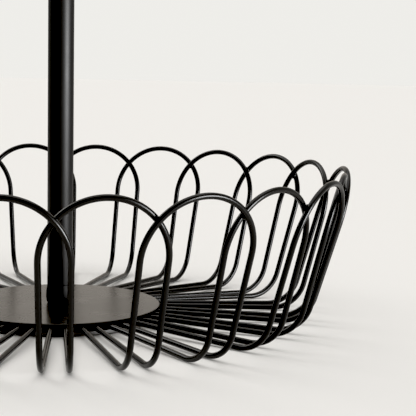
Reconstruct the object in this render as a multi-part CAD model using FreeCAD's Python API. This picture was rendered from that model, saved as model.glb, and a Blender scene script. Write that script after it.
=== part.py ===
# Wire produce basket: a ring of bent petal wires held between two round plates,
# with a tube pole screwed up from below and a carrying ring at its top.
# Millimetres, +Z up. The origin is on the pole's axis, on the table the basket stands on.
import FreeCAD, Part
import math
import os

Vec = FreeCAD.Vector
CENTRE = Vec(0, 0, 0)
UP = Vec(0, 0, 1)

# Petal wires
petal_count = 22            # even, so that inner and outer petals alternate all the way round
wire_diameter = 2.7
rim_height = 75.15          # centre line of an arch's top, above the table
rim_radius = 141.7          # the same point from the axis, mean of inner and outer petals
wall_foot_radius = 121.4    # where the leaning wall would meet the base run if it had no bend
arch_radius = 25.9
foot_half_width = 23.5      # from a petal's middle to each leg, at the wall's foot
leg_spacing_at_plate = 6.8  # between the legs of two neighbours, at the plate's edge
bend_radius = 16.7          # centre line of the foot bend
kink_radius = 25.0          # centre line of the slight bend just outside the plate
kink_outside_plate = 2.0
wire_end_inside_plate = 10.0
crossing_gap = 0.04         # between two wires where they cross, inside the weld
weld_radius = 1.3
settling_rounds = 8

# Plates
plate_radius = 50.0
plate_thickness = 1.2
base_ring_inset = 0.5       # how far the base ring's rim stays inside the plate's
base_ring_width = 19.5
base_ring_thickness = 2.4
sheet_edge_radius = 0.4

# Pole
pole_diameter = 12.7
pole_wall = 1.2
pole_top_height = 230.0     # upper end of the tube, above the table
collar_height = 9.5
collar_swell = 0.5          # how far a collar stands out past the tube
collar_widest_height = 3.5
collar_foot_inset = 0.3     # how far the collar's foot draws in from the tube's radius
spigot_length = 16.0
fit_clearance = 0.02        # radial, spigot in tube and screw in thread

# Fasteners
thread_diameter = 6.0
screw_hole_clearance = 0.3  # radial
screw_length = 16.0         # under the head
head_diameter = 10.5
head_flat_diameter = 5.8
head_above_table = 0.8
hex_socket_size = 4.0       # across flats
hex_socket_depth = 2.0
washer_diameter = 16.0
washer_thickness = 1.0

# Handle
handle_ring_radius = 28.0   # centre line
handle_rod_diameter = 6.0
neck_height = 15.0
neck_top_radius = 4.6
neck_waist_radius = 4.2
neck_waist_height = 11.5
saddle_depth = 2.2          # how deep the ring sits in the neck's top
neck_hole_depth = 9.0
stud_end_gap = 1.0          # left free at each end of the stud

# Sizes that follow
wire_radius = wire_diameter / 2
plate_underside = base_ring_thickness + wire_diameter
plate_top = plate_underside + plate_thickness
pole_radius = pole_diameter / 2
pole_bore_radius = pole_radius - pole_wall
spigot_radius = pole_bore_radius - fit_clearance
tube_foot_height = plate_top + collar_height
thread_radius = thread_diameter / 2
screw_hole_radius = thread_radius + screw_hole_clearance
washer_underside = plate_underside - washer_thickness
pitch_angle = 360.0 / petal_count

parts = {}


def line(start, end):
    return Part.LineSegment(start, end).toShape()


def arc(start, middle, end):
    return Part.Arc(start, middle, end).toShape()


def at(radius, height):
    return Vec(radius, 0, height)


def cylinder(radius, low, high):
    return Part.makeCylinder(radius, high - low, Vec(0, 0, low))


def turned(outline):
    # A solid of revolution about Z from a closed outline of edges in the XZ plane.
    return Part.Face(Part.Wire(outline)).revolve(CENTRE, UP, 360)


def swelling(widest, end):
    # The middle point of an arc that is upright at its widest point and runs to the end point.
    inwards = widest.x - end.x
    along = end.z - widest.z
    radius = (inwards ** 2 + along ** 2) / (2 * inwards)
    half_angle = math.asin(along / radius) / 2
    return at(widest.x - radius + radius * math.cos(half_angle), widest.z + radius * math.sin(half_angle))


def rounded_corner(before, point, after, radius):
    # Start, middle and end of the arc that rounds a corner in space.
    to_before = (before - point).normalize()
    to_after = (after - point).normalize()
    half_angle = to_before.getAngle(to_after) / 2
    tangent_length = radius / math.tan(half_angle)
    bisector = (to_before + to_after).normalize()
    depth = radius / math.sin(half_angle) - radius
    return point + to_before * tangent_length, point + bisector * depth, point + to_after * tangent_length


def rounded_sheet(sheet, thickness):
    # Breaks the edges of a flat sheet with a radius that its thickness allows.
    radius = min(sheet_edge_radius, thickness / 3)
    rims = [edge for edge in sheet.Edges if edge.Curve.TypeId == "Part::GeomCircle"]
    return sheet.makeFillet(radius, rims)


# A petal is drawn facing -Y: x runs across it, and -y points away from the axis.
def petal_leg(side, top_radius, corner_height):
    # One leg, from its inner end under the plate up to where the arch starts.
    edge_angle = math.radians(pitch_angle / 2) + math.asin(leg_spacing_at_plate / 2 / plate_radius)
    edge_out = plate_radius * math.cos(edge_angle)
    edge_across = plate_radius * math.sin(edge_angle)
    across_slope = (foot_half_width - edge_across) / (wall_foot_radius - edge_out)
    flat_height = base_ring_thickness + wire_radius

    def on_base(out, height):
        return Vec(side * (edge_across + across_slope * (out - edge_out)), -out, height)

    inner_end = on_base(edge_out - wire_end_inside_plate, flat_height)
    kink = on_base(plate_radius + kink_outside_plate, flat_height)
    foot = on_base(wall_foot_radius, corner_height)

    # In the leaning wall's own plane the leg is tangent to the arch.
    lean_out = top_radius - wall_foot_radius
    wall_rise = rim_height - corner_height
    wall_length = math.hypot(lean_out, wall_rise)
    below_centre = wall_length - arch_radius
    reach = math.hypot(below_centre, foot_half_width)
    tangent_angle = math.atan2(foot_half_width, below_centre) + math.acos(arch_radius / reach)
    down = arch_radius + arch_radius * math.cos(tangent_angle)
    across = arch_radius * math.sin(tangent_angle)
    arch_start = Vec(side * across, down * lean_out / wall_length - top_radius,
                     rim_height - down * wall_rise / wall_length)

    kink_arc = rounded_corner(inner_end, kink, foot, kink_radius)
    foot_arc = rounded_corner(kink, foot, arch_start, bend_radius)
    return [line(inner_end, kink_arc[0]), arc(*kink_arc), line(kink_arc[2], foot_arc[0]),
            arc(*foot_arc), line(foot_arc[2], arch_start)]


def petal_line(layer_offset, corner_height):
    top_radius = rim_radius + layer_offset
    left = petal_leg(-1, top_radius, corner_height)
    right = petal_leg(1, top_radius, corner_height)
    top = Vec(0, -top_radius, rim_height)
    arch = arc(left[-1].Vertexes[-1].Point, top, right[-1].Vertexes[-1].Point)
    return Part.Wire(Part.sortEdges(left + [arch] + right)[0])


def turned_by(shape, steps):
    copy = shape.copy()
    copy.rotate(CENTRE, UP, steps * pitch_angle)
    return copy


def settled_petal_lines():
    # The foot corner goes down until the rounded bend rests on the table, and the inner and
    # outer petals lean apart until neighbours just meet where they cross.
    wanted = wire_diameter + crossing_gap
    offset = wanted / 2
    corner_height = wire_radius
    for _ in range(settling_rounds):
        inner = petal_line(-offset, corner_height)
        outer = petal_line(offset, corner_height)
        corner_height += wire_radius - min(inner.BoundBox.ZMin, outer.BoundBox.ZMin)
        offset += (wanted - inner.distToShape(turned_by(outer, 1))[0]) / 2
    return [petal_line(-offset, corner_height), petal_line(offset, corner_height)]


def round_wire(path):
    first = path.OrderedEdges[0]
    start = first.valueAt(first.FirstParameter)
    direction = first.tangentAt(first.FirstParameter)
    section = Part.Wire(Part.makeCircle(wire_radius, start, direction))
    return path.makePipeShell([section], True, False)


def weld_at_crossing(line_a, wire_a, line_b, wire_b):
    point_a, point_b = line_a.distToShape(line_b)[1][0]
    bead = Part.makeSphere(weld_radius, (point_a + point_b) * 0.5, point_b - point_a)
    return bead.cut(wire_a).cut(wire_b)


def make_petals():
    lines = settled_petal_lines()
    wires = [round_wire(path) for path in lines]
    for number in range(petal_count):
        parts[f"petal_wire_{number + 1:02d}"] = turned_by(wires[number % 2], number)

    # The first petal is welded to its neighbours on both sides, and so is every second one after it.
    right = weld_at_crossing(lines[0], wires[0], turned_by(lines[1], 1), turned_by(wires[1], 1))
    left = right.mirror(CENTRE, Vec(1, 0, 0))
    welds = [turned_by(weld, steps) for steps in range(0, petal_count, 2) for weld in (left, right)]
    parts["crossing_welds"] = Part.makeCompound(welds)


def make_plates():
    plate = cylinder(plate_radius, plate_underside, plate_top)
    plate = rounded_sheet(plate, plate_thickness)
    parts["top_plate"] = plate.cut(cylinder(screw_hole_radius, plate_underside, plate_top))

    ring_radius = plate_radius - base_ring_inset
    ring = cylinder(ring_radius, 0, base_ring_thickness)
    ring = ring.cut(cylinder(ring_radius - base_ring_width, 0, base_ring_thickness))
    parts["base_ring"] = rounded_sheet(ring, base_ring_thickness)


def make_pole():
    tube = cylinder(pole_radius, tube_foot_height, pole_top_height)
    parts["pole_tube"] = tube.cut(cylinder(pole_bore_radius, tube_foot_height, pole_top_height))

    # The foot plug is a swollen collar below the tube and a threaded spigot inside it.
    spigot_top = tube_foot_height + spigot_length
    foot = at(pole_radius - collar_foot_inset, plate_top)
    widest = at(pole_radius + collar_swell, plate_top + collar_widest_height)
    flush = at(pole_radius, tube_foot_height)
    parts["foot_plug"] = turned([
        line(at(thread_radius, plate_top), foot),
        arc(foot, swelling(widest, foot), widest),
        arc(widest, swelling(widest, flush), flush),
        line(flush, at(spigot_radius, tube_foot_height)),
        line(at(spigot_radius, tube_foot_height), at(spigot_radius, spigot_top)),
        line(at(spigot_radius, spigot_top), at(thread_radius, spigot_top)),
        line(at(thread_radius, spigot_top), at(thread_radius, plate_top)),
    ])

    plug_low = pole_top_height - spigot_length
    plug = cylinder(spigot_radius, plug_low, pole_top_height)
    parts["top_plug"] = plug.cut(cylinder(thread_radius, plug_low, pole_top_height))


def make_pole_screw():
    washer = cylinder(washer_diameter / 2, washer_underside, plate_underside)
    parts["screw_washer"] = washer.cut(cylinder(screw_hole_radius, washer_underside, plate_underside))

    # A button head: a flat-topped dome with a hexagon socket, as tall as the space above the table allows.
    rim = at(head_diameter / 2, washer_underside)
    flat_rim = at(head_flat_diameter / 2, head_above_table)
    flat_centre = at(0, head_above_table)
    head = turned([
        line(at(0, washer_underside), rim),
        arc(rim, swelling(rim, flat_rim), flat_rim),
        line(flat_rim, flat_centre),
        line(flat_centre, at(0, washer_underside)),
    ])
    corner_radius = hex_socket_size / math.sqrt(3)
    corners = [Vec(corner_radius, 0, head_above_table)]
    for _ in range(6):
        corners.append(FreeCAD.Rotation(UP, 60).multVec(corners[-1]))
    socket = Part.Face(Part.makePolygon(corners)).extrude(UP * hex_socket_depth)
    shank = cylinder(thread_radius - fit_clearance, washer_underside, washer_underside + screw_length)
    parts["pole_screw"] = head.fuse(shank).cut(socket)


def make_handle():
    neck_top = pole_top_height + neck_height
    hole_top = pole_top_height + neck_hole_depth
    ring_height = neck_top - saddle_depth + handle_rod_diameter / 2 + handle_ring_radius
    ring = Part.makeTorus(handle_ring_radius, handle_rod_diameter / 2, Vec(0, 0, ring_height), Vec(0, 1, 0))
    parts["handle_ring"] = ring

    flush = at(pole_radius, pole_top_height)
    widest = at(pole_radius + collar_swell, pole_top_height + collar_widest_height)
    waist = at(neck_waist_radius, pole_top_height + neck_waist_height)
    neck = turned([
        line(at(thread_radius, pole_top_height), flush),
        arc(flush, swelling(widest, flush), widest),
        arc(widest, swelling(widest, waist), waist),
        line(waist, at(neck_top_radius, neck_top)),
        line(at(neck_top_radius, neck_top), at(0, neck_top)),
        line(at(0, neck_top), at(0, hole_top)),
        line(at(0, hole_top), at(thread_radius, hole_top)),
        line(at(thread_radius, hole_top), at(thread_radius, pole_top_height)),
    ])
    parts["handle_neck"] = neck.cut(ring)

    stud_low = pole_top_height - spigot_length + stud_end_gap
    parts["handle_stud"] = cylinder(thread_radius - fit_clearance, stud_low, hole_top - stud_end_gap)


make_petals()
make_plates()
make_pole()
make_pole_screw()
make_handle()

os.makedirs("parts", exist_ok=True)
for name, shape in sorted(parts.items()):
    shape.exportStep(f"parts/{name}.step")
    print(f"{name:16s} valid {shape.isValid()}  solids {len(shape.Solids):2d}  volume {shape.Volume:9.2f}")
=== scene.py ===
# Wire produce basket: black powder coated petal wires held between two round plates,
# a tube pole screwed up from below, and a carrying ring at its top. Metres, +Z up.
import math

import bmesh
import bpy
from mathutils import Matrix, Vector


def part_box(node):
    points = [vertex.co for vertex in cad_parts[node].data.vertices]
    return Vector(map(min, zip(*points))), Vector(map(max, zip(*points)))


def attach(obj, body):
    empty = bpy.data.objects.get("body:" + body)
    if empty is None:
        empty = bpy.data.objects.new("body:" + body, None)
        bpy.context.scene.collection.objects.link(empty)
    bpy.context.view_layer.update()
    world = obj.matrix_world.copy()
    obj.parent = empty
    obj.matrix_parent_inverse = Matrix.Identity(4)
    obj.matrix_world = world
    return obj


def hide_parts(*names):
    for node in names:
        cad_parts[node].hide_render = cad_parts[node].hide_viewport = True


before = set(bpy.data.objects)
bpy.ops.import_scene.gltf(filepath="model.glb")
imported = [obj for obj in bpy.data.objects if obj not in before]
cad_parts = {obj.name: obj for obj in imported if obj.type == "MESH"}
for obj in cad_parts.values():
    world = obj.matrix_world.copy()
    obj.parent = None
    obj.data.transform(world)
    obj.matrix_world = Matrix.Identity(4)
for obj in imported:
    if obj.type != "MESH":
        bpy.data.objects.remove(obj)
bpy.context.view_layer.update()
scene = bpy.context.scene
up = Vector((0, 0, 1))
origin = Vector((0, 0, 0))
quarter = math.radians(90)
print("frame loaded:", len(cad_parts), "nodes")


# ---- camera

shot = {
    "distance": 0.5878,       # from the pole's axis, level
    "heightAbovePlate": 0.1195,
    "roundFromFront": -7.32,  # degrees round the pole from -Y, clockwise seen from above
    "turnRight": 7.181,       # degrees off the pole's axis
    "tiltDown": 6.869,
    "roll": 1.142,
    "lens": 102.19,
    "sensor": 36.0,
    "clipStart": 0.01,
    "clipEnd": 60.0,
}


def aimCamera(shot, plateTop):
    stand = math.radians(shot["roundFromFront"])
    place = Vector((math.sin(stand), -math.cos(stand), 0)) * shot["distance"]
    place.z = plateTop + shot["heightAbovePlate"]
    heading = math.radians(shot["turnRight"]) - stand
    turn = Matrix.Rotation(-heading, 4, "Z")
    tilt = Matrix.Rotation(math.radians(90 - shot["tiltDown"]), 4, "X")
    roll = Matrix.Rotation(math.radians(shot["roll"]), 4, "Z")
    lens = bpy.data.cameras.new("shotCamera")
    lens.lens = shot["lens"]
    lens.sensor_width = shot["sensor"]
    lens.clip_start = shot["clipStart"]
    lens.clip_end = shot["clipEnd"]
    camera = bpy.data.objects.new("shotCamera", lens)
    camera.matrix_world = Matrix.Translation(place) @ turn @ tilt @ roll
    scene.collection.objects.link(camera)
    scene.camera = camera


aimCamera(shot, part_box("top_plate")[1].z)
print("camera placed")


# ---- finishes

def newGroup(name, inputs, outputs):
    group = bpy.data.node_groups.new(name, "ShaderNodeTree")
    for label in inputs:
        group.interface.new_socket(label, in_out="INPUT", socket_type="NodeSocketFloat")
    for label in outputs:
        group.interface.new_socket(label, in_out="OUTPUT", socket_type="NodeSocketFloat")
    given = group.nodes.new("NodeGroupInput")
    result = group.nodes.new("NodeGroupOutput")
    return group, given, result


def addMath(tree, operation, first, second):
    # a Math node whose two inputs are sockets or numbers
    node = tree.nodes.new("ShaderNodeMath")
    node.operation = operation
    for socket, value in zip(node.inputs, (first, second)):
        if isinstance(value, (int, float)):
            socket.default_value = value
        else:
            tree.links.new(value, socket)
    return node.outputs[0]


def addNoise(tree, place, scale, detail):
    noise = tree.nodes.new("ShaderNodeTexNoise")
    noise.inputs["Detail"].default_value = detail
    tree.links.new(place, noise.inputs["Vector"])
    if isinstance(scale, (int, float)):
        noise.inputs["Scale"].default_value = scale
    else:
        tree.links.new(scale, noise.inputs["Scale"])
    return noise.outputs["Fac"]


def addRange(tree, value, low, high, newLow, newHigh):
    node = tree.nodes.new("ShaderNodeMapRange")
    for label, given in zip(("Value", "From Min", "From Max", "To Min", "To Max"),
                            (value, low, high, newLow, newHigh)):
        if isinstance(given, (int, float)):
            node.inputs[label].default_value = given
        else:
            tree.links.new(given, node.inputs[label])
    return node.outputs["Result"]


peel = {
    "finerTimes": 3.7,        # the finer pebbles against the coarse ones
    "finerShare": 0.35,
    "coarseDetail": 1,
    "cloudsPerMetre": 55,     # where the coat is a little glossier or duller
    "cloudDetail": 2,
    "cloudRange": (0.3, 0.7),
}
dust = {
    "slopes": (0.35, 1.0),    # from the steepest face that holds dust to a level one
    "patchesPerMetre": 140,
    "patchDetail": 3,
    "patchRange": (0.42, 0.68, 0.15, 1.0),
    "specksPerMetre": 2600,
    "speckDetail": 1,
    "speckRange": (0.50, 0.72, 0.25, 1.0),
}
rub = {
    "scratchesPerMetre": 900,
    "scratchDetail": 4,
    "scratchRange": (0.40, 0.60),
}
grain = {
    "cloudsPerMetre": 300,
    "cloudDetail": 4,
    "strength": 0.6,
}


def makeOrangePeel(p):
    # the pebbled skin of a baked powder coat, and the cloudy change of its gloss
    group, given, result = newGroup("orangePeel", ("Pebbles per metre", "Roughness", "Gloss change"),
                                    ("Height", "Roughness"))
    place = group.nodes.new("ShaderNodeTexCoord").outputs["Object"]
    pebbles = given.outputs["Pebbles per metre"]
    coarse = addNoise(group, place, pebbles, p["coarseDetail"])
    fine = addNoise(group, place, addMath(group, "MULTIPLY", pebbles, p["finerTimes"]), 0)
    height = addMath(group, "ADD", coarse, addMath(group, "MULTIPLY", fine, p["finerShare"]))
    clouds = addNoise(group, place, p["cloudsPerMetre"], p["cloudDetail"])
    change = addRange(group, clouds, *p["cloudRange"], -1, 1)
    gloss = addMath(group, "MULTIPLY", change, given.outputs["Gloss change"])
    group.links.new(height, result.inputs["Height"])
    group.links.new(addMath(group, "ADD", gloss, given.outputs["Roughness"]), result.inputs["Roughness"])
    return group


def makeSettledDust(d):
    # fine lint on what faces up, thicker in some places than in others
    group, given, result = newGroup("settledDust", ("Amount",), ("Mask",))
    place = group.nodes.new("ShaderNodeTexCoord").outputs["Object"]
    facing = group.nodes.new("ShaderNodeSeparateXYZ")
    group.links.new(group.nodes.new("ShaderNodeNewGeometry").outputs["Normal"], facing.inputs[0])
    upwards = addRange(group, facing.outputs["Z"], *d["slopes"], 0, 1)
    patches = addNoise(group, place, d["patchesPerMetre"], d["patchDetail"])
    specks = addNoise(group, place, d["specksPerMetre"], d["speckDetail"])
    uneven = addMath(group, "MULTIPLY", addRange(group, patches, *d["patchRange"]),
                     addRange(group, specks, *d["speckRange"]))
    settled = addMath(group, "MULTIPLY", upwards, uneven)
    group.links.new(addMath(group, "MULTIPLY", settled, given.outputs["Amount"]), result.inputs["Mask"])
    return group


def makeTableRub(r):
    # the coat is scuffed where the basket slides on the table
    group, given, result = newGroup("tableRub", ("Reach",), ("Mask",))
    place = group.nodes.new("ShaderNodeTexCoord").outputs["Object"]
    height = group.nodes.new("ShaderNodeSeparateXYZ")
    group.links.new(place, height.inputs[0])
    low = addRange(group, height.outputs["Z"], 0, given.outputs["Reach"], 1, 0)
    scratches = addRange(group, addNoise(group, place, r["scratchesPerMetre"], r["scratchDetail"]),
                         *r["scratchRange"], 0, 1)
    group.links.new(addMath(group, "MULTIPLY", low, scratches), result.inputs["Mask"])
    return group


def makeZincGrain(g):
    # the fine cloudy crystals of bright zinc plating
    group, given, result = newGroup("zincGrain", ("Grains per metre",), ("Height", "Mask"))
    place = group.nodes.new("ShaderNodeTexCoord").outputs["Object"]
    cells = group.nodes.new("ShaderNodeTexVoronoi")
    group.links.new(place, cells.inputs["Vector"])
    group.links.new(given.outputs["Grains per metre"], cells.inputs["Scale"])
    clouds = addNoise(group, place, g["cloudsPerMetre"], g["cloudDetail"])
    mixed = addMath(group, "ADD", cells.outputs["Distance"], clouds)
    group.links.new(cells.outputs["Distance"], result.inputs["Height"])
    group.links.new(addMath(group, "MULTIPLY", mixed, g["strength"]), result.inputs["Mask"])
    return group


orangePeel = makeOrangePeel(peel)
settledDust = makeSettledDust(dust)
tableRub = makeTableRub(rub)
zincGrain = makeZincGrain(grain)


def addGroup(tree, group, **values):
    node = tree.nodes.new("ShaderNodeGroup")
    node.node_tree = group
    for label, value in values.items():
        node.inputs[label.replace("_", " ")].default_value = value
    return node


def addMix(tree, mask, first, second):
    # a colour mix of a colour or socket with a second colour, by a mask
    mix = tree.nodes.new("ShaderNodeMix")
    mix.data_type = "RGBA"
    tree.links.new(mask, mix.inputs["Factor"])
    for label, colour in (("A", first), ("B", second)):
        socket = next(s for s in mix.inputs if s.name == label and s.type == "RGBA")
        if isinstance(colour, tuple):
            socket.default_value = colour + (1,)
        else:
            tree.links.new(colour, socket)
    return next(s for s in mix.outputs if s.type == "RGBA")


def newMaterial(name):
    material = bpy.data.materials.new(name)
    material.use_nodes = True
    tree = material.node_tree
    return material, tree, tree.nodes["Principled BSDF"]


def addBump(tree, shader, height, depth):
    bump = tree.nodes.new("ShaderNodeBump")
    bump.inputs["Strength"].default_value = 1
    bump.inputs["Distance"].default_value = depth
    tree.links.new(height, bump.inputs["Height"])
    tree.links.new(bump.outputs["Normal"], shader.inputs["Normal"])


def blackPowderCoat(name, look):
    material, tree, shader = newMaterial(name)
    skin = addGroup(tree, orangePeel, Pebbles_per_metre=look["pebblesPerMetre"],
                    Roughness=look["roughness"], Gloss_change=look["glossChange"])
    lint = addGroup(tree, settledDust, Amount=look["dust"]).outputs["Mask"]
    scuffs = addGroup(tree, tableRub, Reach=look["rubReach"]).outputs["Mask"]
    dusty = addMix(tree, lint, look["colour"], look["dustColour"])
    tree.links.new(addMix(tree, scuffs, dusty, look["rubColour"]), shader.inputs["Base Color"])
    dulled = addMath(tree, "ADD", addMath(tree, "MULTIPLY", lint, look["dustDulling"]),
                     addMath(tree, "MULTIPLY", scuffs, look["rubDulling"]))
    tree.links.new(addMath(tree, "ADD", skin.outputs["Roughness"], dulled), shader.inputs["Roughness"])
    addBump(tree, shader, skin.outputs["Height"], look["pebbleDepth"])
    shader.inputs["Specular IOR Level"].default_value = look["specular"]
    return material


def brightZinc(name, look):
    material, tree, shader = newMaterial(name)
    crystals = addGroup(tree, zincGrain, Grains_per_metre=look["grainsPerMetre"])
    tree.links.new(addMix(tree, crystals.outputs["Mask"], look["colour"], look["grainColour"]),
                   shader.inputs["Base Color"])
    tree.links.new(addRange(tree, crystals.outputs["Mask"], 0, 1, *look["roughnessRange"]),
                   shader.inputs["Roughness"])
    shader.inputs["Metallic"].default_value = 1
    addBump(tree, shader, crystals.outputs["Height"], look["grainDepth"])
    return material


coatLook = {
    "colour": (0.0055, 0.0050, 0.0046),
    "roughness": 0.25,
    "glossChange": 0.03,
    "specular": 0.42,
    "pebblesPerMetre": 1500,
    "pebbleDepth": 0.0000022,
    "dust": 0.04,
    "dustColour": (0.13, 0.115, 0.10),
    "dustDulling": 0.35,
    "rubReach": 0.0006,
    "rubColour": (0.06, 0.058, 0.055),
    "rubDulling": 0.25,
}
plateLook = coatLook | {
    # the plate's near-black coat, lifted and tinted warm as a painted sheen of the warm room behind it
    "colour": (0.016, 0.013, 0.010),
    "roughness": 0.27,
    "specular": 0.6,
    "glossChange": 0.02,
    "pebbleDepth": 0.0000045,
    "dust": 0.06,
}
poleLook = coatLook | {"roughness": 0.43, "pebbleDepth": 0.000006, "dust": 0.02}
footLook = poleLook | {"roughness": 0.5, "specular": 0.2}
zincLook = {
    "colour": (0.50, 0.51, 0.53),
    "grainColour": (0.66, 0.66, 0.65),
    "roughnessRange": (0.22, 0.36),
    "grainsPerMetre": 1500,
    "grainDepth": 0.000006,
}

wireCoat = blackPowderCoat("wireCoat", coatLook)
# the plate's material carries that painted warm sheen in its colour, on the top plate and the base ring
plateCoatAndPaintedSheen = blackPowderCoat("plateCoatAndPaintedSheen", plateLook)
poleCoat = blackPowderCoat("poleCoat", poleLook)
footCoat = blackPowderCoat("footCoat", footLook)
zincPlate = brightZinc("zincPlate", zincLook)
print("finishes made")


# ---- drawing and finishing meshes

drawing = {
    "mergeDistance": 0.000002,
    "sharpest": 40,            # degrees between two faces that are still shaded as one
}


def carryOn(bm, end, move=origin, centre=origin, axis=up, angle=0.0, steps=1):
    # draws a shape's open end straight on by a move, or round a centre by an angle
    drawn = bmesh.ops.spin(bm, geom=end, cent=centre, axis=axis, dvec=Vector(move) / steps,
                           angle=angle, steps=steps, use_merge=False)
    return drawn["geom_last"]


def reachTo(bm, end, point):
    # a straight stretch of an outline, from its last vertex to a point
    here = next(v for v in end if isinstance(v, bmesh.types.BMVert))
    return carryOn(bm, end, move=Vector(point) - here.co)


def closeOutline(bm, end):
    # an edge from the outline's last vertex back to its first
    bm.verts.ensure_lookup_table()
    bm.edges.new((end[0], bm.verts[0]))


def spinFull(bm, steps, centre=origin, axis=up):
    # turns the outline all the way round, and closes the poles on the axis
    outline = bm.verts[:] + bm.edges[:]
    bmesh.ops.spin(bm, geom=outline, cent=centre, axis=axis, angle=math.tau, steps=steps, use_merge=True)
    bmesh.ops.remove_doubles(bm, verts=bm.verts, dist=drawing["mergeDistance"])


def finishPiece(bm, name, material, nodes):
    bmesh.ops.recalc_face_normals(bm, faces=bm.faces)
    mesh = bpy.data.meshes.new(name)
    bm.to_mesh(mesh)
    bm.free()
    mesh.shade_smooth()
    mesh.set_sharp_from_angle(angle=math.radians(drawing["sharpest"]))
    mesh.materials.append(material)
    piece = bpy.data.objects.new(name, mesh)
    scene.collection.objects.link(piece)
    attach(piece, "root")
    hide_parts(*nodes)
    return piece


def acrossAxis(node):
    # smallest and largest distance of a CAD node's surface from the pole's axis
    spans = [math.hypot(v.co.x, v.co.y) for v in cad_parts[node].data.vertices]
    return min(spans), max(spans)


# ---- petal wires

petal = {
    "count": 22,
    "wireDiameter": 0.0027,
    "wallFootRadius": 0.1214,     # where the leaning wall would meet the base run
    "archRadius": 0.0259,
    "footHalfWidth": 0.0235,      # from a petal's middle to each leg, at the wall's foot
    "legSpacingAtPlate": 0.0068,
    "bendRadius": 0.0167,
    "kinkRadius": 0.025,
    "kinkOutsidePlate": 0.002,
    "endInsidePlate": 0.010,
    "endRounding": 0.0003,
    "endSteps": 2,
    "mirrorMerge": 0.00001,
    "settlingRounds": 8,
    "sides": 20,                  # faces round the wire
    "archSteps": 34,              # in half an arch
    "bendSteps": 22,
    "kinkSteps": 4,
}
petalPitch = math.tau / petal["count"]


def roundCorner(before, point, after, radius):
    # where a corner's arc starts and ends, its centre and axis, and how far it turns
    arriving = (point - before).normalized()
    leaving = (after - point).normalized()
    turn = arriving.angle(leaving)
    tangent = radius * math.tan(turn / 2)
    inwards = (leaving - arriving).normalized()
    return {
        "start": point - arriving * tangent,
        "end": point + leaving * tangent,
        "centre": point + inwards * radius / math.cos(turn / 2),
        "axis": arriving.cross(leaving).normalized(),
        "angle": turn,
    }


def lowestOf(corner, radius):
    # the lowest height of a corner's arc, where it runs level
    return corner["centre"].z - radius * math.sqrt(1 - corner["axis"].z ** 2)


def petalLeg(p, topRadius, rimHeight, cornerHeight):
    # the left leg of a petal that faces -Y: its corners, and where its arch starts
    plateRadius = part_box("top_plate")[1].x
    edgeAngle = petalPitch / 2 + math.asin(p["legSpacingAtPlate"] / 2 / plateRadius)
    edgeOut = plateRadius * math.cos(edgeAngle)
    edgeAcross = plateRadius * math.sin(edgeAngle)
    acrossSlope = (p["footHalfWidth"] - edgeAcross) / (p["wallFootRadius"] - edgeOut)
    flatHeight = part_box("base_ring")[1].z + p["wireDiameter"] / 2

    def onBase(out, height):
        return Vector((-edgeAcross - acrossSlope * (out - edgeOut), -out, height))

    innerEnd = onBase(edgeOut - p["endInsidePlate"], flatHeight)
    kinkPoint = onBase(plateRadius + p["kinkOutsidePlate"], flatHeight)
    footPoint = onBase(p["wallFootRadius"], cornerHeight)

    # in the leaning wall's own plane the leg is tangent to the arch
    leanOut = topRadius - p["wallFootRadius"]
    wallRise = rimHeight - cornerHeight
    wallLength = math.hypot(leanOut, wallRise)
    belowCentre = wallLength - p["archRadius"]
    reach = math.hypot(belowCentre, p["footHalfWidth"])
    tangentAngle = math.atan2(p["footHalfWidth"], belowCentre) + math.acos(p["archRadius"] / reach)
    down = p["archRadius"] * (1 + math.cos(tangentAngle))
    across = p["archRadius"] * math.sin(tangentAngle)
    wallUp = Vector((0, -leanOut, wallRise)) / wallLength
    top = Vector((0, -topRadius, rimHeight))
    archStart = top - wallUp * down - Vector((across, 0, 0))
    return {
        "innerEnd": innerEnd,
        "kink": roundCorner(innerEnd, kinkPoint, footPoint, p["kinkRadius"]),
        "foot": roundCorner(kinkPoint, footPoint, archStart, p["bendRadius"]),
        "archStart": archStart,
        "archCentre": top - wallUp * p["archRadius"],
        "archTop": top,
    }


def settledLeg(p, node, turn):
    # reads a petal's rim and foot from its CAD node, turned to face -Y, and settles its foot corner
    points = [turn @ v.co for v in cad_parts[node].data.vertices]
    wireRadius = p["wireDiameter"] / 2
    topRadius = -min(point.y for point in points) - wireRadius
    rimHeight = max(point.z for point in points) - wireRadius
    lowest = min(point.z for point in points) + wireRadius
    cornerHeight = lowest
    for _ in range(p["settlingRounds"]):
        leg = petalLeg(p, topRadius, rimHeight, cornerHeight)
        cornerHeight += lowest - lowestOf(leg["foot"], p["bendRadius"])
    return leg


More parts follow.
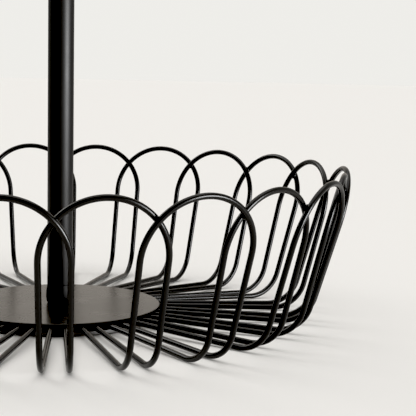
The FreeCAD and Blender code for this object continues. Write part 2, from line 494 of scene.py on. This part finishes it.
def makePetalWire(p, number):
    node = f"petal_wire_{number:02d}"
    angle = (number - 1) * petalPitch
    leg = settledLeg(p, node, Matrix.Rotation(-angle, 3, "Z"))
    kink, foot = leg["kink"], leg["foot"]
    bm = bmesh.new()

    # the round section stands across the wire's inner end, and is drawn along half the petal
    along = (kink["start"] - leg["innerEnd"]).normalized()
    section = Matrix.Translation(leg["innerEnd"]) @ along.to_track_quat("Z", "Y").to_matrix().to_4x4()
    bmesh.ops.create_circle(bm, radius=p["wireDiameter"] / 2, segments=p["sides"], matrix=section)
    rim = bm.edges[:]
    end = carryOn(bm, bm.verts[:] + rim, move=kink["start"] - leg["innerEnd"])
    end = carryOn(bm, end, centre=kink["centre"], axis=kink["axis"], angle=kink["angle"],
                  steps=p["kinkSteps"])
    end = carryOn(bm, end, move=foot["start"] - kink["end"])
    end = carryOn(bm, end, centre=foot["centre"], axis=foot["axis"], angle=foot["angle"],
                  steps=p["bendSteps"])
    end = carryOn(bm, end, move=leg["archStart"] - foot["end"])
    toStart = leg["archStart"] - leg["archCentre"]
    toTop = leg["archTop"] - leg["archCentre"]
    carryOn(bm, end, centre=leg["archCentre"], axis=toStart.cross(toTop).normalized(),
            angle=toStart.angle(toTop), steps=p["archSteps"])

    # the sawn end has a small round to its rim
    bmesh.ops.edgeloop_fill(bm, edges=rim)
    bmesh.ops.bevel(bm, geom=rim, offset=p["endRounding"], offset_type="OFFSET", segments=p["endSteps"],
                    profile=0.5, affect="EDGES", material=-1)
    bmesh.ops.mirror(bm, geom=bm.verts[:] + bm.edges[:] + bm.faces[:], axis="X",
                     merge_dist=p["mirrorMerge"])
    bmesh.ops.rotate(bm, verts=bm.verts, cent=origin, matrix=Matrix.Rotation(angle, 3, "Z"))
    return finishPiece(bm, f"petalWire{number:02d}", wireCoat, [node])


for number in range(1, petal["count"] + 1):
    makePetalWire(petal, number)
print("petal wires bent:", petal["count"])


# ---- welds where neighbouring petals cross

weld = {
    "halfHeight": 0.00178,   # up the wall
    "halfWidth": 0.00151,
    "halfThickness": 0.00092,
    "wallLean": 15.3,        # degrees the wall leans out
    "fineness": 3,
}


def makeWelds(w):
    # one bead fills the corners round each crossing, which the CAD welds' own vertices place
    beads = {}
    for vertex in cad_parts["crossing_welds"].data.vertices:
        pitches = math.atan2(vertex.co.x, -vertex.co.y) / petalPitch
        beads.setdefault(math.floor(pitches), []).append(vertex.co)
    bm = bmesh.new()
    for points in beads.values():
        centre = sum(points, Vector()) / len(points)
        turn = Matrix.Rotation(math.atan2(centre.x, -centre.y), 4, "Z")
        lean = Matrix.Rotation(math.radians(w["wallLean"]), 4, "X")
        size = Matrix.Diagonal((w["halfWidth"], w["halfThickness"], w["halfHeight"], 1))
        bmesh.ops.create_icosphere(bm, subdivisions=w["fineness"], radius=1,
                                   matrix=Matrix.Translation(centre) @ turn @ lean @ size)
    return finishPiece(bm, "crossingWelds", wireCoat, ["crossing_welds"])


makeWelds(weld)
print("crossings welded")


# ---- top plate, base ring and washer: flat sheets with broken edges

sheet = {
    "edgeRadius": 0.0004,
    "washerEdgeRadius": 0.00025,
    "edgeSteps": 5,
    "holdingWidth": 0.0003,  # a narrow flat rim beside the round, so that the shading stays flat
    "steps": 160,
}


def makeSheet(name, node, material, s):
    inner, outer = acrossAxis(node)
    low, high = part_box(node)[0].z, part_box(node)[1].z
    edge = s["edgeRadius"]
    bm = bmesh.new()
    end = [bm.verts.new((inner, 0, low))]
    end = reachTo(bm, end, (inner + edge, 0, low))
    end = reachTo(bm, end, (outer - edge - s["holdingWidth"], 0, low))
    end = reachTo(bm, end, (outer - edge, 0, low))
    end = carryOn(bm, end, centre=(outer - edge, 0, low + edge), axis=(0, -1, 0),
                  angle=quarter, steps=s["edgeSteps"])
    end = reachTo(bm, end, (outer, 0, high - edge))
    end = carryOn(bm, end, centre=(outer - edge, 0, high - edge), axis=(0, -1, 0),
                  angle=quarter, steps=s["edgeSteps"])
    end = reachTo(bm, end, (outer - edge - s["holdingWidth"], 0, high))
    end = reachTo(bm, end, (inner + edge, 0, high))
    end = reachTo(bm, end, (inner, 0, high))
    closeOutline(bm, end)
    spinFull(bm, steps=s["steps"])
    return finishPiece(bm, name, material, [node])


topPlate = makeSheet("topPlate", "top_plate", plateCoatAndPaintedSheen, sheet)
makeSheet("baseRing", "base_ring", plateCoatAndPaintedSheen, sheet)
makeSheet("screwWasher", "screw_washer", zincPlate,
          sheet | {"edgeRadius": sheet["washerEdgeRadius"]})
print("sheets turned")


# ---- pole tube and its foot plug

pole = {
    "endRounding": 0.00025,
    "endSteps": 3,
    "endAngle": 60,           # degrees, the tube's end rims are sharper than this
    "collarHeight": 0.0095,
    "collarSwell": 0.0005,    # how far the collar stands out past the tube
    "widestHeight": 0.0035,
    "footInset": 0.0003,
    "fitClearance": 0.00002,
    "bellySteps": 10,
    "steps": 96,
}


def makeTube(p):
    inner, outer = acrossAxis("pole_tube")
    low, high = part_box("pole_tube")[0].z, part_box("pole_tube")[1].z
    bm = bmesh.new()
    end = [bm.verts.new((inner, 0, low))]
    for point in ((outer, 0, low), (outer, 0, high), (inner, 0, high)):
        end = reachTo(bm, end, point)
    closeOutline(bm, end)
    spinFull(bm, steps=p["steps"])
    ends = [e for e in bm.edges if e.calc_face_angle(0) > math.radians(p["endAngle"])]
    bmesh.ops.bevel(bm, geom=ends, offset=p["endRounding"], offset_type="OFFSET", segments=p["endSteps"],
                    profile=0.5, affect="EDGES", material=-1)
    return finishPiece(bm, "poleTube", poleCoat, ["pole_tube"])


def belly(widestRadius, endRadius, along):
    # radius and angle of an arc that is upright at its widest and draws in to its end
    inwards = widestRadius - endRadius
    radius = (inwards ** 2 + along ** 2) / (2 * inwards)
    return radius, math.asin(along / radius)


def makeFootPlug(p):
    poleRadius = acrossAxis("pole_tube")[1]
    spigotRadius = acrossAxis("pole_tube")[0] - p["fitClearance"]
    boreRadius = acrossAxis("foot_plug")[0]
    low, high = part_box("foot_plug")[0].z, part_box("foot_plug")[1].z
    widest = Vector((poleRadius + p["collarSwell"], 0, low + p["widestHeight"]))
    lowerRadius, lowerAngle = belly(widest.x, poleRadius - p["footInset"], p["widestHeight"])
    upperRadius, upperAngle = belly(widest.x, poleRadius, p["collarHeight"] - p["widestHeight"])
    bm = bmesh.new()
    end = [bm.verts.new((boreRadius, 0, low))]
    end = reachTo(bm, end, (poleRadius - p["footInset"], 0, low))
    end = carryOn(bm, end, centre=widest - Vector((lowerRadius, 0, 0)), axis=(0, -1, 0),
                  angle=lowerAngle, steps=p["bellySteps"])
    end = carryOn(bm, end, centre=widest - Vector((upperRadius, 0, 0)), axis=(0, -1, 0),
                  angle=upperAngle, steps=p["bellySteps"])
    collarTop = low + p["collarHeight"]
    for point in ((spigotRadius, 0, collarTop), (spigotRadius, 0, high), (boreRadius, 0, high)):
        end = reachTo(bm, end, point)
    closeOutline(bm, end)
    spinFull(bm, steps=p["steps"])
    return finishPiece(bm, "footPlug", footCoat, ["foot_plug"])


makeTube(pole)
makeFootPlug(pole)
print("pole stood up")


# ---- pole screw, seen from below

screw = {
    "threadRadius": 0.0030,
    "fitClearance": 0.00002,
    "flatRadius": 0.0029,       # of the button head's flat face
    "socketSides": 6,
    "socketSize": 0.004,        # across flats
    "socketDepth": 0.002,
    "cutsPerSide": 7,           # the socket's sides meet a face with as many edges
    "domeSteps": 10,
}


def makeScrew(c):
    low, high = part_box("pole_screw")
    headRadius = high.x
    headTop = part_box("screw_washer")[0].z
    sides = c["socketSides"] * (c["cutsPerSide"] + 1)
    bm = bmesh.new()
    shank = c["threadRadius"] - c["fitClearance"]

    # the dome and the shank are turned as one outline, from the flat's rim up
    domeRadius, domeAngle = belly(headRadius, c["flatRadius"], headTop - low.z)
    end = [bm.verts.new((headRadius, 0, headTop))]
    carryOn(bm, end, centre=(headRadius - domeRadius, 0, headTop), axis=(0, 1, 0), angle=domeAngle,
            steps=c["domeSteps"])
    bmesh.ops.spin(bm, geom=bm.verts[:] + bm.edges[:], cent=origin, axis=up, angle=math.tau,
                   steps=sides, use_merge=True)
    bmesh.ops.remove_doubles(bm, verts=bm.verts, dist=drawing["mergeDistance"])
    rims = [e for e in bm.edges if e.is_boundary]
    flatRim = [e for e in rims if e.verts[0].co.z < (low.z + headTop) / 2]
    headRim = [e for e in rims if e not in flatRim]

    # a hexagon with as many edges as the flat's rim is bridged to it and sunk into the head
    corner = c["socketSize"] / 2 / math.cos(math.pi / c["socketSides"])
    known = set(bm.edges)
    bmesh.ops.create_circle(bm, radius=corner, segments=c["socketSides"],
                            matrix=Matrix.Translation((0, 0, low.z)))
    hexagon = [e for e in bm.edges if e not in known]
    bmesh.ops.subdivide_edges(bm, edges=hexagon, cuts=c["cutsPerSide"], use_grid_fill=False)
    hexagon = [e for e in bm.edges if e not in known]
    bmesh.ops.bridge_loops(bm, edges=flatRim + hexagon)
    sunk = carryOn(bm, hexagon, move=(0, 0, c["socketDepth"]))
    bmesh.ops.edgeloop_fill(bm, edges=[e for e in sunk if isinstance(e, bmesh.types.BMEdge)])

    # the underside of the head draws in to the shank
    inner = bmesh.ops.extrude_edge_only(bm, edges=headRim)["geom"]
    innerVerts = [v for v in inner if isinstance(v, bmesh.types.BMVert)]
    bmesh.ops.scale(bm, vec=(shank / headRadius, shank / headRadius, 1), verts=innerVerts)
    innerRim = [e for e in inner if isinstance(e, bmesh.types.BMEdge) and e.is_boundary]
    top = carryOn(bm, innerRim, move=(0, 0, high.z - headTop))
    bmesh.ops.edgeloop_fill(bm, edges=[e for e in top if isinstance(e, bmesh.types.BMEdge)])
    return finishPiece(bm, "poleScrew", zincPlate, ["pole_screw"])


makeScrew(screw)
for node in ("top_plug", "handle_stud"):
    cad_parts[node].data.materials.clear()
    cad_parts[node].data.materials.append(zincPlate)
print("screw made, stud and plug plated")


# ---- handle: a neck and a ring

handle = {
    "collarSwell": 0.0005,
    "widestHeight": 0.0035,
    "waistRadius": 0.0042,
    "waistHeight": 0.0115,
    "topRadius": 0.0046,
    "lipRounding": 0.0004,
    "lipSteps": 4,
    "holeDepth": 0.009,
    "fitClearance": 0.00002,
    "bellySteps": 12,
    "steps": 96,
    "ringSteps": 120,
    "rodSides": 28,
}


def makeNeck(h):
    low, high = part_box("handle_neck")[0].z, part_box("handle_neck")[1].z
    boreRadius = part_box("handle_stud")[1].x + h["fitClearance"]
    poleRadius = acrossAxis("pole_tube")[1]
    widest = Vector((poleRadius + h["collarSwell"], 0, low + h["widestHeight"]))
    lowerRadius, lowerAngle = belly(widest.x, poleRadius, h["widestHeight"])
    upperRadius, upperAngle = belly(widest.x, h["waistRadius"], h["waistHeight"] - h["widestHeight"])
    lip = h["lipRounding"]
    bm = bmesh.new()
    end = [bm.verts.new((0, 0, low + h["holeDepth"]))]
    for point in ((boreRadius, 0, low + h["holeDepth"]), (boreRadius, 0, low), (poleRadius, 0, low)):
        end = reachTo(bm, end, point)
    end = carryOn(bm, end, centre=widest - Vector((lowerRadius, 0, 0)), axis=(0, -1, 0),
                  angle=lowerAngle, steps=h["bellySteps"])
    end = carryOn(bm, end, centre=widest - Vector((upperRadius, 0, 0)), axis=(0, -1, 0),
                  angle=upperAngle, steps=h["bellySteps"])
    end = reachTo(bm, end, (h["topRadius"], 0, high - lip))
    end = carryOn(bm, end, centre=(h["topRadius"] - lip, 0, high - lip), axis=(0, -1, 0),
                  angle=quarter, steps=h["lipSteps"])
    reachTo(bm, end, (0, 0, high))
    spinFull(bm, steps=h["steps"])
    return finishPiece(bm, "handleNeck", poleCoat, ["handle_neck"])


def makeRing(h):
    low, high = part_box("handle_ring")
    rod = high.y
    centre = (low + high) / 2
    bm = bmesh.new()
    bmesh.ops.create_circle(bm, radius=rod, segments=h["rodSides"],
                            matrix=Matrix.Translation((high.x - rod, 0, centre.z)))
    spinFull(bm, centre=centre, axis=Vector((0, 1, 0)), steps=h["ringSteps"])
    return finishPiece(bm, "handleRing", poleCoat, ["handle_ring"])


makeNeck(handle)
makeRing(handle)
print("handle made")


# ---- floor, light and surroundings

studio = {
    "floorColour": (0.878, 0.866, 0.852),
    "nearRadius": 0.5,          # the part of the floor that shows in the gloss
    "floorRadius": 9.0,
    "floorSides": 96,
    "floorDrop": 0.0002,
    "floorRoughness": 0.9,
    "floorSpecular": 0.1,
    "background": (0.863, 0.855, 0.823),
    "ambient": 0.58,
    "blackPoint": 0.03,
    "keptOffPlate": ["windowLight"],  # its mirror image would burn out the flat plate
}

# each far softbox: degrees round from straight behind the basket towards the camera's right,
# degrees above the table, the angle it fills, its brightness, and its colour
softboxes = {
    "windowLight": (117, 1, 31, 18.0, (0.98, 0.99, 1.0)),
    "backLeftLight": (-60, 40, 30, 3.2, (1.0, 0.99, 0.97)),
    "backLight": (-2, 14, 50, 0.30, (1.0, 0.84, 0.68)),
    "topLight": (0, 80, 60, 1.08, (1.0, 0.99, 0.975)),
}


def makeFloor(name, innerRadius, outerRadius, material, s):
    bm = bmesh.new()
    bmesh.ops.create_circle(bm, cap_ends=innerRadius == 0, radius=innerRadius or outerRadius,
                            segments=s["floorSides"], matrix=Matrix.Translation((0, 0, -s["floorDrop"])))
    if innerRadius:
        ring = bmesh.ops.extrude_edge_only(bm, edges=bm.edges[:])["geom"]
        bmesh.ops.scale(bm, vec=(outerRadius / innerRadius, outerRadius / innerRadius, 1),
                        verts=[v for v in ring if isinstance(v, bmesh.types.BMVert)])
    bm.normal_update()
    bmesh.ops.reverse_faces(bm, faces=[f for f in bm.faces if f.normal.z < 0])
    mesh = bpy.data.meshes.new(name)
    bm.to_mesh(mesh)
    bm.free()
    mesh.materials.append(material)
    floor = bpy.data.objects.new(name, mesh)
    scene.collection.objects.link(floor)
    floor.visible_shadow = False  # the window light's lower half reaches the pole as if off the table
    return floor


def makeFloors(s):
    material, tree, shader = newMaterial("paleFloor")
    shader.inputs["Base Color"].default_value = s["floorColour"] + (1,)
    shader.inputs["Roughness"].default_value = s["floorRoughness"]
    shader.inputs["Specular IOR Level"].default_value = s["floorSpecular"]

    # seen from below it is clear, so that the basket's underside can be looked at
    clear = tree.nodes.new("ShaderNodeBsdfTransparent")
    oneSided = tree.nodes.new("ShaderNodeMixShader")
    tree.links.new(tree.nodes.new("ShaderNodeNewGeometry").outputs["Backfacing"], oneSided.inputs[0])
    tree.links.new(shader.outputs["BSDF"], oneSided.inputs[1])
    tree.links.new(clear.outputs["BSDF"], oneSided.inputs[2])
    tree.links.new(oneSided.outputs["Shader"], tree.nodes["Material Output"].inputs["Surface"])
    makeFloor("nearFloor", 0, s["nearRadius"], material, s)
    farFloor = makeFloor("farFloor", s["nearRadius"], s["floorRadius"], material, s)
    farFloor.visible_glossy = False


def makeSoftboxes(boxes, s):
    ahead = shot["turnRight"] - shot["roundFromFront"]
    for name, (across, above, angle, brightness, colour) in boxes.items():
        light = bpy.data.lights.new(name, "SUN")
        light.angle = math.radians(angle)
        light.energy = brightness * math.pi * math.sin(light.angle / 2) ** 2
        light.color = colour
        lamp = bpy.data.objects.new(name, light)
        turn = Matrix.Rotation(-math.radians(ahead + across), 4, "Z")
        tilt = Matrix.Rotation(-math.radians(90 - above), 4, "X")
        lamp.matrix_world = turn @ tilt
        scene.collection.objects.link(lamp)
        if name in s["keptOffPlate"]:
            shielded = bpy.data.collections.new(name + "Receivers")
            shielded.objects.link(topPlate)
            shielded.collection_objects[0].light_linking.link_state = "EXCLUDE"
            lamp.light_linking.receiver_collection = shielded


def makeWorld(s):
    # the camera sees the pale backdrop, and everything else the dimmer room
    world = bpy.data.worlds.new("studioWorld")
    world.use_nodes = True
    tree = world.node_tree
    backdrop = tree.nodes["Background"]
    backdrop.inputs["Color"].default_value = s["background"] + (1,)
    room = tree.nodes.new("ShaderNodeBackground")
    room.inputs["Color"].default_value = s["background"] + (1,)
    room.inputs["Strength"].default_value = s["ambient"]
    seen = tree.nodes.new("ShaderNodeLightPath")
    mix = tree.nodes.new("ShaderNodeMixShader")
    tree.links.new(seen.outputs["Is Camera Ray"], mix.inputs[0])
    tree.links.new(room.outputs[0], mix.inputs[1])
    tree.links.new(backdrop.outputs[0], mix.inputs[2])
    tree.links.new(mix.outputs[0], tree.nodes["World Output"].inputs["Surface"])
    scene.world = world


makeFloors(studio)
makeSoftboxes(softboxes, studio)
makeWorld(studio)
scene.view_settings.view_transform = "Standard"
scene.view_settings.use_curve_mapping = True
scene.view_settings.curve_mapping.black_level = (studio["blackPoint"],) * 3
scene.view_settings.curve_mapping.update()
print("studio lit")
